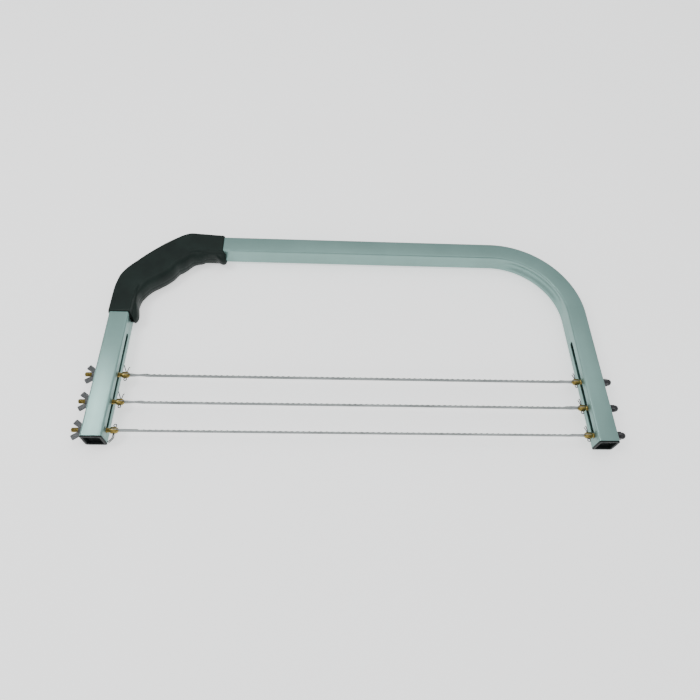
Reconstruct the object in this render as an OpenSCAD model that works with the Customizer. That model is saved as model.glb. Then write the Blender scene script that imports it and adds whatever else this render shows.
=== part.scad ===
// Three-blade bow slicer: a bent square tube frame with a clamshell grip, and three
// serrated strip blades. Each blade hangs between two slotted brass studs that stand in
// the long slots of the legs. A wing nut on the left stud draws the blade tight.
// The frame lies flat: X runs along the blades, Y from the leg ends to the bar,
// and Z out of the frame's plane. The origin is the middle of the underside.

/* [Frame] */
// Width over the outer faces of the two legs
frame_w = 551; // [530:1:640]
// Height from the leg ends to the top of the bar
frame_h = 263.5; // [258:0.5:290]
// Side of the square tube
tube = 22; // [21:0.5:23]
// Wall of the tube
wall = 1.2; // [1:0.1:2]
// Outer corner radius of the tube
tube_edge = 2; // [1:0.2:2.4]
// Centre-line radius of the open bend
bend_r = 91.5; // [85:0.5:105]
// Depth of the trough that forming leaves inside the open bend
trough = 3; // [1.5:0.5:4]
// Thickness of the end plug's flange
plug_flange = 1.5; // [1:0.1:2]

/* [Blades] */
// Height of the lowest blade above the leg ends
blade_low = 10.2; // [10.2:0.1:12]
// Distance from one blade to the next
blade_gap = 32; // [26:1:34]
// Width of a blade strip
blade_w = 6.5; // [5.5:0.1:7]
// Thickness of a blade strip
blade_t = 0.7; // [0.5:0.05:0.8]
// Distance from one tooth point to the next
tooth_pitch = 6; // [4:0.5:8]
// Depth of a scallop between two tooth points
tooth_depth = 1.2; // [0.6:0.1:1.6]
// Length of the slots over which a stud's axis can travel
slot_travel = 113.2; // [106:0.1:115]

/* [Studs and nuts] */
// Thread diameter of studs, nuts and washers
thread_d = 5; // [4.8:0.05:5]
// Diameter of a stud's slotted head
head_d = 7.2; // [6.5:0.1:7.5]
// Distance from the frame's middle to the nose of a left stud
left_nose = 241.7; // [240:0.1:243]
// Distance from the frame's middle to the nose of a right stud
right_nose = 243.5; // [243:0.1:245]
// Half the span of a wing nut's wings
wing_reach = 11.6; // [10:0.1:11.6]
// Width of a wing
wing_w = 6; // [4:0.1:6.2]

/* [Grip] */
// Depth of the grip, front to back
grip_depth = 26; // [25:0.5:28]
// Height above the leg ends at which the grip starts on the leg
grip_low = 149; // [146:1:152]
// Distance from the frame's middle at which the grip ends on the bar
grip_end = 158; // [155:0.5:160]
// Height of the hidden tube's corner on the leg
corner_y = 196; // [192:1:200]
// Distance from the frame's middle to the hidden tube's corner on the bar
corner_x = 203.5; // [198:0.5:208]
// Length of the lower horn of the finger side
horn_low = 6.3; // [3:0.1:7]
// Length of the upper horn of the finger side
horn_high = 3.8; // [2:0.1:5]

/* [Hidden] */
LEVELS = ["bottom", "middle", "top"];

$fn = 48;
eps = 0.01;

aluminium = [0.62, 0.69, 0.67];
black_plastic = [0.10, 0.13, 0.12];
brass = [0.62, 0.52, 0.20];
blade_steel = [0.66, 0.68, 0.68];
nut_steel = [0.38, 0.39, 0.41];
dark_steel = [0.16, 0.16, 0.17];

// Frame
leg_x = (frame_w - tube) / 2;        // centre line of a leg
bar_y = frame_h - tube / 2;          // centre line of the bar
bore_w = tube - 2 * wall;            // side of the tube's hollow
slot_w = thread_d + 1;
plug_depth = 6.3;                    // how far a plug's skirt stands in the tube
plug_play = 0.1;
plug_wall = 1.4;
recess_depth = 4.5;

// Studs and the hardware on them
running = 0.05;                      // radial play of a nut on its thread
pin_in = 4.2;                        // pin's distance from a stud's nose
pin_d = 2;
pin_hole_d = 2.2;
fork_depth = 7.2;                    // depth of the slot that takes the blade
fork_w = blade_t + 0.2;
head_len = 8.6;
blade_end_play = 0.5;
washer_t = 1;
washer_d = 10;
lock_nut_h = 2.7;
cap_nut_h = 9.2;
cap_hex_h = 4.4;
nut_flats = 8;
hub_h = 4.2;
wing_t = 2.2;
wing_rise = 55;                      // angle of a wing from the frame's leg
left_end = frame_w / 2 + washer_t + lock_nut_h + cap_nut_h;  // the two sides match
cap_bore = 6.8;                      // depth of a cap nut's thread
anchor_end = frame_w / 2 + washer_t + lock_nut_h + cap_bore - 0.6;

// Grip
grip_half = grip_depth / 2;
hidden_r = 40;                       // centre-line radius of the hidden bends
channel_play = 0.12;
channel = tube / 2 + channel_play;   // half the width of the grip's channel
edge_r = 3.5;                        // rounding of the grip's outer edges
rim_r = 2.2;                         // rounding where the front and back faces end
crease_w = 2.4;                      // width of the step from the face to the finger rib
nose_len = 5;                        // length over which a horn rounds off

// ---------------------------------------------------------------- grip centre line
slope = atan2(bar_y - corner_y, leg_x - corner_x);
turns = [90 - slope, slope];
tangents = [for (t = turns) hidden_r * tan(t / 2)];
arcs = [for (t = turns) hidden_r * t * PI / 180];
rise_start = [-leg_x + tangents[0] * cos(slope), corner_y + tangents[0] * sin(slope)];
rise_end = [-corner_x - tangents[1] * cos(slope), bar_y - tangents[1] * sin(slope)];
s_leg = corner_y - tangents[0] - grip_low;
s_low = s_leg + arcs[0];
s_rise = s_low + norm(rise_end - rise_start);
s_high = s_rise + arcs[1];
s_end = s_high + corner_x - tangents[1] - grip_end;

function on_arc(c, heading) =
    [c.x - hidden_r * sin(heading), c.y + hidden_r * cos(heading), heading];
// Place and heading of the tube's centre line, a distance s from the grip's lower end
function centre_line(s) =
    s < s_leg ? [-leg_x, grip_low + s, 90]
    : s < s_low ? on_arc([hidden_r - leg_x, corner_y - tangents[0]],
                         90 - (s - s_leg) / arcs[0] * turns[0])
    : s < s_rise ? [rise_start.x + (s - s_low) * cos(slope),
                    rise_start.y + (s - s_low) * sin(slope), slope]
    : s < s_high ? on_arc(rise_end + hidden_r * [sin(slope), -cos(slope)],
                          slope - (s - s_rise) / arcs[1] * turns[1])
    : [s - s_high - corner_x + tangents[1], bar_y, 0];
// A point s along the centre line, n outwards from it and z above the middle
function off_line(s, n, z) =
    let (p = centre_line(s)) [p.x - n * sin(p.z), p.y + n * cos(p.z), z];

// ---------------------------------------------------------------- grip section
// Each list holds [distance along the grip, value]
outer_line = [[0, 12.5], [22, 12.3], [33, 12.1], [40, 12.4], [47, 13.5], [56, 13.9],
              [68, 14.6], [80, 15.5], [95, 15.8], [108, 15.4], [116, 14.7], [122, 15],
              [128, 16], [134, 16.6], [141, 15.1], [150, 14.5], [160, 13.8], [172, 13.1]];
finger_line = [[0, 20.2], [4, 19.5], [10, 17.9], [17, 16.4], [25, 16.8], [33, 20.5], [42, 22.3],
               [52, 23.2], [62, 23.5], [72, 25], [82, 25.8], [91, 25.4], [97, 23.7],
               [101, 22.1], [105, 23.4], [111, 23.9], [122, 22.7], [130, 21.4], [138, 21.5],
               [146, 20.8], [151, 17.2], [158, 15.3], [163, 16.2], [168, 21.4], [172, 24]];
rib_line = [[0, 8], [18, 9], [38, 11.5], [58, grip_half], [106, grip_half], [126, 12],
            [145, 10.2], [152, 8.6], [160, 8], [172, 9]];
crease_line = [[0, 11.9], [14, 11.9], [32, 13.4], [50, 14.4], [62, 14.6], [100, 14.6],
               [120, 14.4], [136, 12.8], [149, 11.9], [172, 11.9]];

function slope_at(list, i) =
    let (a = max(i - 1, 0), b = min(i + 1, len(list) - 1))
    (list[b][1] - list[a][1]) / (list[b][0] - list[a][0]);
// A smooth curve through the points of a list
function along(list, s, i = 0) =
    s <= list[0][0] ? list[0][1]
    : s >= list[len(list) - 1][0] ? list[len(list) - 1][1]
    : s > list[i + 1][0] ? along(list, s, i + 1)
    : let (w = list[i + 1][0] - list[i][0], t = (s - list[i][0]) / w,
           t2 = t * t, t3 = t2 * t)
      (2 * t3 - 3 * t2 + 1) * list[i][1] + (t3 - 2 * t2 + t) * w * slope_at(list, i)
      + (3 * t2 - 2 * t3) * list[i + 1][1] + (t3 - t2) * w * slope_at(list, i + 1);
// The part is drawn with the leg ends at Y = 0 and the tube's middle at Z = 0, and then
// placed so that the middle of its underside is the origin
grip_top = max([for (s = [s_rise:0.5:s_end]) off_line(s, along(outer_line, s), 0).y]);
middle_y = (grip_top - plug_flange) / 2;
module placed() translate([0, -middle_y, grip_half]) children();

function clamp(v) = min(1, max(0, v));
function smooth(v) = let (t = clamp(v)) t * t * (3 - 2 * t);
function quarter(v) = sqrt(1 - pow(1 - clamp(v), 2));

// Half section of the grip at s, from the outer parting edge over the face to the
// finger-side parting edge, as [n, z]; e is the distance to the grip's nearer end
function section(s, e) =
    let (outer = along(outer_line, s),
         finger = along(finger_line, s) - 4 * (1 - quarter(e / nose_len)),
         top = grip_half - rim_r * (1 - quarter(e / rim_r)),
         rib = min(top, along(rib_line, s)) * (0.35 + 0.65 * quarter(e / nose_len)),
         crease = along(crease_line, s),
         tip = min(7, finger - crease - crease_w))
    concat(
        [[outer, 0], [outer, (top - edge_r) / 2]],
        [for (a = [0:30:90]) [outer - edge_r * (1 - cos(a)), top - edge_r * (1 - sin(a))]],
        [[0, top], [-crease, top]],
        [for (t = [0.25:0.25:1]) [-crease - crease_w * t, top - (top - rib) * smooth(t)]],
        [for (a = [72:-18:0]) [-(finger - tip) - tip * cos(a), rib * sin(a)]]
    );
channel_section = [[channel, 0], [channel, channel], [-channel, channel], [-channel, 0]];

// How far the finger side runs past the end of the faces, against n
function horn(n) = smooth((-n - channel - 0.3) / 4);

// Rows of the shell, closer together near both ends
near_rows = [0, 0.5, 1.2, 2.2, 3.4, 5, 7, 10];
far_start = 14;
row_step = 4;
row_gap = (s_end - 2 * far_start) / ceil((s_end - 2 * far_start) / row_step);
rows = concat(near_rows, [for (s = [far_start:row_gap:s_end - far_start + eps]) s],
              [for (i = [len(near_rows) - 1:-1:0]) s_end - near_rows[i]]);
fade_len = 12;
function stretch(s, n) =
    s - horn_low * horn(n) * pow(clamp(1 - s / fade_len), 2)
    + horn_high * horn(n) * pow(clamp(1 - (s_end - s) / fade_len), 2);
function row_points(s, pts) = [for (p = pts) off_line(stretch(s, p[0]), p[0], p[1])];

// Channel corner that faces the outer curve's point j
function channel_mate(j) = j < 3 ? 0 : j < 5 ? 1 : j < 7 ? 2 : 3;
// A half shell as one closed skin: outer curve and channel in each row, capped at the ends
module half_shell() {
    sections = [for (s = rows) section(s, min(s, s_end - s))];
    m = len(sections[0]);
    k = len(channel_section);
    ring = m + k;
    points = [for (i = [0:len(rows) - 1])
        each concat(row_points(rows[i], sections[i]), row_points(rows[i], channel_section))];
    last = (len(rows) - 1) * ring;
    // The loop of one row: out along the outer curve and back along the channel
    loop = concat([for (j = [0:m - 1]) j], [for (j = [k - 1:-1:0]) m + j]);
    sides = [for (i = [0:len(rows) - 2]) for (j = [0:ring - 1])
        let (a = i * ring + loop[j], b = i * ring + loop[(j + 1) % ring])
        each [[a, a + ring, b], [b, a + ring, b + ring]]];
    cap = [for (j = [0:m - 2]) let (c0 = m + channel_mate(j), c1 = m + channel_mate(j + 1))
        each concat([[j, j + 1, c1]], c0 == c1 ? [] : [[j, c1, c0]])];
    polyhedron(points, concat(sides, cap,
        [for (f = cap) [f[0] + last, f[2] + last, f[1] + last]]), convexity = 10);
}

// Screws of the grip, as [distance along the grip, distance to the finger side]
screw_spots = [[41, 15.8], [84, 17], [126, 15.6]];
screw_d = 3;
screw_head_d = 5.4;
screw_head_h = 2;
screw_seat = 6.5;                    // depth of the heads' seats behind the middle
screw_tip = 8;                       // how far a screw stands in the front shell
core_wall = 4.2;                     // wall left outside a hollow, on the finger side
core_rib = 2;                        // wall left between the channel and a hollow
core_depth = 6;
core_step = 3;
core_stop = 7;                       // distance from a screw to the nearer hollow's end
module at_screws() for (p = screw_spots) translate(off_line(p[0], -p[1], 0)) children();

// Outline of the hollow beside the channel, between two screws
module core(from, to) {
    steps = [from:core_step:to];
    linear_extrude(core_depth) polygon(concat(
        [for (s = steps) let (p = off_line(s, -channel - core_rib, 0)) [p.x, p.y]],
        [for (i = [floor((to - from) / core_step):-1:0])
            let (s = from + core_step * i, p = off_line(s, core_wall - along(finger_line, s), 0))
            [p.x, p.y]]));
}
module cores() {
    core(screw_spots[0][0] + core_stop, screw_spots[1][0] - core_stop);
    core(screw_spots[1][0] + core_stop, screw_spots[2][0] - core_stop);
}

module grip_front_shell() placed() color(black_plastic) difference() {
    half_shell();
    translate([0, 0, -eps]) cores();
    at_screws() translate([0, 0, -eps]) cylinder(d = screw_d + 2 * running, h = screw_tip + 1);
}

module grip_back_shell() placed() color(black_plastic) difference() {
    mirror([0, 0, 1]) half_shell();
    mirror([0, 0, 1]) translate([0, 0, -eps]) cores();
    at_screws() {
        translate([0, 0, -grip_half]) cylinder(d = screw_d + 0.4, h = grip_half + eps);
        translate([0, 0, -grip_half - eps])
            cylinder(d = screw_head_d + 0.6, h = grip_half - screw_seat + eps);
    }
}

module grip_screws() placed() color(dark_steel) at_screws() difference() {
    union() {
        translate([0, 0, -screw_seat]) cylinder(d = screw_d, h = screw_seat + screw_tip);
        translate([0, 0, -screw_seat - screw_head_h]) cylinder(d = screw_head_d, h = screw_head_h);
    }
    for (a = [0, 90]) rotate(a) translate([-1.6, -0.35, -screw_seat - screw_head_h - eps])
        cube([3.2, 0.7, 1.2]);
}

// ---------------------------------------------------------------- frame
// A square with rounded corners, centred
module rounded_square(side, r, steps = 4) {
    c = side / 2 - r;
    polygon([for (q = [0:3]) for (i = [0:steps]) let (a = 90 * q + 90 * i / steps)
        [c * sign(cos(90 * q + 45)) + r * cos(a), c * sign(sin(90 * q + 45)) + r * sin(a)]]);
}

// Rows of the bent tube, from the left leg's end to the right one's, as
// [x, y, heading, depth of the trough in the inner wall]
open_centre = [leg_x - bend_r, bar_y - bend_r];
hidden_steps = 6;
open_steps = 22;
trough_run = 26;                     // angle over which the trough deepens
tube_rows = concat(
    [[-leg_x, 0, 90, 0]],
    [for (i = [0:hidden_steps]) concat(centre_line(s_leg + arcs[0] * i / hidden_steps), 0)],
    [for (i = [0:hidden_steps]) concat(centre_line(s_rise + arcs[1] * i / hidden_steps), 0)],
    [for (i = [0:open_steps]) let (a = 90 * i / open_steps)
        [open_centre.x + bend_r * sin(a), open_centre.y + bend_r * cos(a), -a,
         trough * smooth(min(a, 90 - a) / trough_run)]],
    [[leg_x, 0, -90, 0]]);

corner_steps = 3;
trough_steps = 8;
// The tube's section as [n, z]: rounded corners, and the inner wall pressed in by dent
function tube_ring(half, r, dent) = let (c = half - r) concat(
    [for (q = [0, 1]) for (i = [0:corner_steps]) let (a = 90 * q + 90 * i / corner_steps)
        [c * (q == 0 ? 1 : -1) + r * cos(a), c + r * sin(a)]],
    [for (i = [1:trough_steps - 1]) let (t = i / trough_steps)
        [dent * pow(sin(180 * t), 2) - half, c * (1 - 2 * t)]],
    [for (q = [2, 3]) for (i = [0:corner_steps]) let (a = 90 * q + 90 * i / corner_steps)
        [c * (q == 3 ? 1 : -1) + r * cos(a), -c + r * sin(a)]]);
// A bent tube as one closed skin: the outer ring and the hollow's ring in every row
module tube_skin() {
    rings = [for (p = tube_rows) concat(tube_ring(tube / 2, tube_edge, p[3]),
                                        tube_ring(tube / 2 - wall, 0.5, p[3]))];
    m = len(rings[0]) / 2;
    points = [for (i = [0:len(tube_rows) - 1]) let (p = tube_rows[i]) for (q = rings[i])
        [p.x - q[0] * sin(p.z), p.y + q[0] * cos(p.z), q[1]]];
    last = (len(tube_rows) - 1) * 2 * m;
    polyhedron(points, concat(
        [for (i = [0:len(tube_rows) - 2]) for (j = [0:m - 1])
            let (a = 2 * m * i + j, b = 2 * m * i + (j + 1) % m)
            each [[a, a + 2 * m, b + 2 * m], [a, b + 2 * m, b],
                  [a + m, b + m, b + 3 * m], [a + m, b + 3 * m, a + 3 * m]]],
        [for (j = [0:m - 1]) let (a = j, b = (j + 1) % m)
            each [[a, b, b + m], [a, b + m, a + m],
                  [last + a, last + b + m, last + b], [last + a, last + a + m, last + b + m]]]
    ), convexity = 10);
}
// A long round-ended slot through both walls of a leg
module leg_slot(x) {
    low = blade_low;
    high = blade_low + slot_travel;
    translate([x - tube, low, -slot_w / 2]) cube([2 * tube, high - low, slot_w]);
    for (y = [low, high]) translate([x - tube, y, 0]) rotate([0, 90, 0])
        cylinder(d = slot_w, h = 2 * tube);
}
module frame_tube() placed() color(aluminium) difference() {
    tube_skin();
    for (x = [-leg_x, leg_x]) leg_slot(x);
}

module end_plug(x) placed() color(black_plastic) translate([x, 0, 0]) rotate([-90, 0, 0])
    difference() {
        union() {
            translate([0, 0, -plug_flange]) linear_extrude(plug_flange)
                rounded_square(tube, tube_edge);
            linear_extrude(plug_depth)
                rounded_square(bore_w - 2 * plug_play, 0.5);
        }
        translate([0, 0, -plug_flange - eps]) linear_extrude(recess_depth + eps)
            rounded_square(bore_w - 2 * plug_play - 2 * plug_wall, 0.8);
    }
module left_end_plug() end_plug(-leg_x);
module right_end_plug() end_plug(leg_x);

// ---------------------------------------------------------------- blade sets
function level_y(i) = blade_low + i * blade_gap;
module at_level(i) placed() translate([0, level_y(i), 0]) children();
// Stand on a face at x with +Z pointing out to the left or to the right
module outward(side, x) translate([side * x, 0, 0]) rotate([0, side * 90, 0]) children();

left_pin_x = left_nose + pin_in;
right_pin_x = right_nose + pin_in;
blade_left = left_nose + fork_depth - blade_end_play;
blade_right = right_nose + fork_depth - blade_end_play;
plain_left = 20;                     // toothless ends, measured from a stud's nose
plain_right = 14;
toothed_left = left_nose - plain_left;
teeth = floor((toothed_left + right_nose - plain_right) / tooth_pitch);
tooth_steps = 4;
function tooth_edge(i) =
    blade_w / 2 - tooth_depth * sin(180 * (i % tooth_steps) / tooth_steps);

module blade(i) at_level(i) color(blade_steel) difference() {
    rotate([90, 0, 0]) linear_extrude(blade_t, center = true) polygon(concat(
        [[-blade_left, -blade_w / 2], [blade_right, -blade_w / 2], [blade_right, blade_w / 2]],
        [for (k = [teeth * tooth_steps:-1:0])
            [-toothed_left + k * tooth_pitch / tooth_steps, tooth_edge(k)]],
        [[-blade_left, blade_w / 2]]));
    for (x = [-left_pin_x, right_pin_x]) translate([x, 0, 0]) rotate([90, 0, 0])
        cylinder(d = pin_hole_d, h = 4, center = true);
}

// A slotted stud from its nose at x = nose to its end at x = tail, turned about X
module stud(side, nose, tail) outward(side, 0) difference() {
    rotate_extrude() polygon([
        [0, nose], [head_d * 0.27, nose], [head_d * 0.46, nose + 2.2],
        [head_d / 2, nose + 3.4], [head_d / 2, nose + 6], [head_d * 0.47, nose + head_len - 1],
        [thread_d / 2 - 0.4, nose + head_len - 0.8], [thread_d / 2 - 0.4, nose + head_len],
        [thread_d / 2, nose + head_len + 0.4], [thread_d / 2, tail - 0.5],
        [thread_d / 2 - 0.5, tail], [0, tail]]);
    translate([-head_d, -fork_w / 2, nose - eps]) cube([2 * head_d, fork_w, fork_depth + eps]);
    translate([0, 0, nose + pin_in]) rotate([90, 0, 0])
        cylinder(d = pin_hole_d, h = 2 * head_d, center = true);
}
module tension_stud(i) at_level(i) color(brass) stud(-1, left_nose, left_end);
module anchor_stud(i) at_level(i) color(brass) stud(1, right_nose, anchor_end);

// A split pin along Y: an eye below the head and two legs bent away above it.
// Each leg is a list of points after the shank's end, as [x, y, z]
module wire(points, d) for (k = [0:len(points) - 2]) {
    v = points[k + 1] - points[k];
    translate(points[k]) rotate([0, acos(v.z / norm(v)), atan2(v.y, v.x)])
        cylinder(d = d, h = norm(v), $fn = 16);
    translate(points[k + 1]) sphere(d = 1.06 * d, $fn = 16);
}
pin_half = 4;                        // from the stud's axis to where the legs part
leg_d = 0.95;
leg_apart = 0.5;
eye_r = 1.4;
module split_pin(legs) {
    rotate([90, 0, 0]) cylinder(d = pin_d, h = 2 * pin_half, center = true, $fn = 24);
    translate([0, -pin_half - eye_r + 0.3, 0]) rotate_extrude($fn = 24)
        translate([eye_r, 0]) circle(d = leg_d, $fn = 16);
    for (leg = legs)
        wire(concat([[sign(leg[0].x) * leg_apart, pin_half - 0.5, 0]], leg), leg_d);
}
upper_legs = [[[0.9, 5, 0], [1.6, 8.2, 0.3], [2.6, 9, 0.5]],
              [[-0.9, 4.8, 0], [-4.2, 12, -0.6]]];
lower_legs = [[[0.6, 5, -0.2], [-0.2, 8, -2], [-5.2, 11, -6.2]],
              [[-0.6, 4.8, -0.4], [-1.8, 7.8, -2.4], [-6.4, 10.2, -6]]];
right_legs = [[[0.5, 5.4, 0.1], [-0.1, 9.6, 0.5], [-0.9, 10.4, 0.6]],
              [[-0.6, 5.4, -0.2], [-1.6, 9.4, -0.9]]];
module left_pin(i) at_level(i) color(dark_steel) translate([-left_pin_x, 0, 0])
    if (i == 0) mirror([0, 1, 0]) split_pin(lower_legs); else split_pin(upper_legs);
module right_pin(i) at_level(i) color(dark_steel) translate([right_pin_x, 0, 0])
    split_pin(right_legs);

// ---------------------------------------------------------------- nuts and washers
module washer() difference() {
    cylinder(d = washer_d, h = washer_t);
    translate([0, 0, -eps]) cylinder(d = thread_d + 0.3, h = washer_t + 2 * eps);
}
module wing_washer(i) at_level(i) color(nut_steel) outward(-1, frame_w / 2) washer();
module anchor_washer(i) at_level(i) color(dark_steel) outward(1, frame_w / 2) washer();

wing_root = 3.2;
wing_tip = wing_reach - wing_w / 2 * sin(wing_rise);
wing_len = (wing_tip - wing_root) / cos(wing_rise);
module wing_nut(i) at_level(i) color(nut_steel) outward(-1, frame_w / 2 + washer_t)
    difference() {
        union() {
            cylinder(r1 = 4.6, r2 = 3.9, h = hub_h);
            for (m = [0, 1]) mirror([0, m, 0]) rotate([90, 0, 90])
                linear_extrude(wing_t, center = true) translate([wing_root, 0.3])
                    rotate(wing_rise) translate([0, -wing_w / 2]) square([wing_len, wing_w]);
        }
        translate([-10, -10, -10]) cube([20, 20, 10]);
        translate([0, 0, -eps]) cylinder(d = thread_d + 2 * running, h = hub_h + 10);
    }

// A hexagon whose corners are turned down at both faces
module hexagon(h, flats) intersection() {
    cylinder(d = flats / cos(30), h = h, $fn = 6);
    rotate_extrude() polygon([[0, 0], [flats / 2 - 0.1, 0], [flats / cos(30) / 2, 0.5],
        [flats / cos(30) / 2, h - 0.5], [flats / 2 - 0.1, h], [0, h]]);
}
module lock_nut(i) at_level(i) color(dark_steel) outward(1, frame_w / 2 + washer_t)
    rotate(11 + 17 * i) difference() {
        hexagon(lock_nut_h, nut_flats);
        translate([0, 0, -eps]) cylinder(d = thread_d + 2 * running, h = lock_nut_h + 2 * eps);
    }
module cap_nut(i) at_level(i) color(dark_steel)
    outward(1, frame_w / 2 + washer_t + lock_nut_h) rotate(23 * i) difference() {
        union() {
            hexagon(cap_hex_h, nut_flats);
            dome = 3.75;
            cylinder(r = dome, h = cap_nut_h - dome);
            translate([0, 0, cap_nut_h - dome]) sphere(r = dome);
        }
        translate([0, 0, -eps]) cylinder(d = thread_d + 2 * running, h = cap_bore + eps);
    }

frame_tube();
left_end_plug();
right_end_plug();
grip_front_shell();
grip_back_shell();
grip_screws();
for (i = [0:2]) {
    blade(i);
    tension_stud(i);
    anchor_stud(i);
    left_pin(i);
    right_pin(i);
    wing_washer(i);
    wing_nut(i);
    anchor_washer(i);
    lock_nut(i);
    cap_nut(i);
}
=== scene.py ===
"""Looks of the three-blade bow slicer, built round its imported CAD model.

Shapes are drawn in millimetres in a drawing frame: leg ends at Y = 0 and the tube's middle at
Z = 0. place() turns such a point into the frame's metres.
"""

import math

import bmesh
import bpy
from mathutils import Matrix, Vector


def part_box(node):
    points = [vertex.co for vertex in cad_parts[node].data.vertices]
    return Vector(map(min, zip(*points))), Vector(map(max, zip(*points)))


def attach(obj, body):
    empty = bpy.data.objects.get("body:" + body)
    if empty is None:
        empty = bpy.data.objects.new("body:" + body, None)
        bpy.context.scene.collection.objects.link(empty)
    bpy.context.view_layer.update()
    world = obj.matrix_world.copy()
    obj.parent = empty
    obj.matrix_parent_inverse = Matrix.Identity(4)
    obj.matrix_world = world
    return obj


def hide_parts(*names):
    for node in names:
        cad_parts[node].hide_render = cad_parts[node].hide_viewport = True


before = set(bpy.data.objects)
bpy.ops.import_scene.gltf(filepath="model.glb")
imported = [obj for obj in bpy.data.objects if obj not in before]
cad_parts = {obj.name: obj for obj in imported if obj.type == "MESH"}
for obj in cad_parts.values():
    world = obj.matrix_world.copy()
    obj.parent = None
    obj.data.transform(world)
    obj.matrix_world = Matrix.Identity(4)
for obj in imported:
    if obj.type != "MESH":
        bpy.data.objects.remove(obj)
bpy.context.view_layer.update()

MM = 0.001
LEVELS = ("bottom", "middle", "top")


# ------------------------------------------------------------------ sizes taken from the frame
def low_mm(node):
    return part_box(node)[0] / MM


def high_mm(node):
    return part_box(node)[1] / MM


def size_mm(node):
    return high_mm(node) - low_mm(node)


tube = size_mm("left_end_plug").x
middle_y = -low_mm("frame_tube").y
middle_z = (low_mm("frame_tube").z + high_mm("frame_tube").z) / 2
frame_w = high_mm("right_end_plug").x - low_mm("left_end_plug").x
frame_h = high_mm("frame_tube").y + middle_y
plug_flange = -middle_y - low_mm("left_end_plug").y
grip_half = middle_z
blade_w = size_mm("blade_top").z
blade_t = size_mm("blade_top").y
level_y = [(low_mm(f"blade_{level}").y + high_mm(f"blade_{level}").y) / 2 + middle_y for level in LEVELS]
left_nose = -high_mm("tension_stud_top").x
right_nose = low_mm("anchor_stud_top").x
left_tail = -low_mm("tension_stud_top").x
right_tail = high_mm("anchor_stud_top").x
head_d = size_mm("tension_stud_top").y
washer_d = size_mm("anchor_washer_top").y
washer_t = size_mm("anchor_washer_top").x
lock_nut_h = size_mm("lock_nut_top").x
cap_nut_h = size_mm("cap_nut_top").x
wing_reach = size_mm("wing_nut_top").y / 2
blade_left = -low_mm("blade_top").x
blade_right = high_mm("blade_top").x

# Sizes that the boxes don't tell. They are the part's own.
wall = 1.2
tube_edge = 2
bend_r = 91.5
trough = 3
slot_travel = 113.2
thread_d = 5
slot_w = thread_d + 1
thread_pitch = 0.8
head_len = 8.6
fork_w = blade_t + 0.2
fork_depth = 7.2
pin_in = 4.2
pin_hole_r = 1.1
nut_flats = 8
nut_bore_r = thread_d / 2 + 0.05
leg_x = (frame_w - tube) / 2
bar_y = frame_h - tube / 2


def place(x, y, z):
    """A point of the drawing frame, in millimetres, as a point of the row frame, in metres."""
    return Vector((x, y - middle_y, z + middle_z)) * MM


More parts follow.
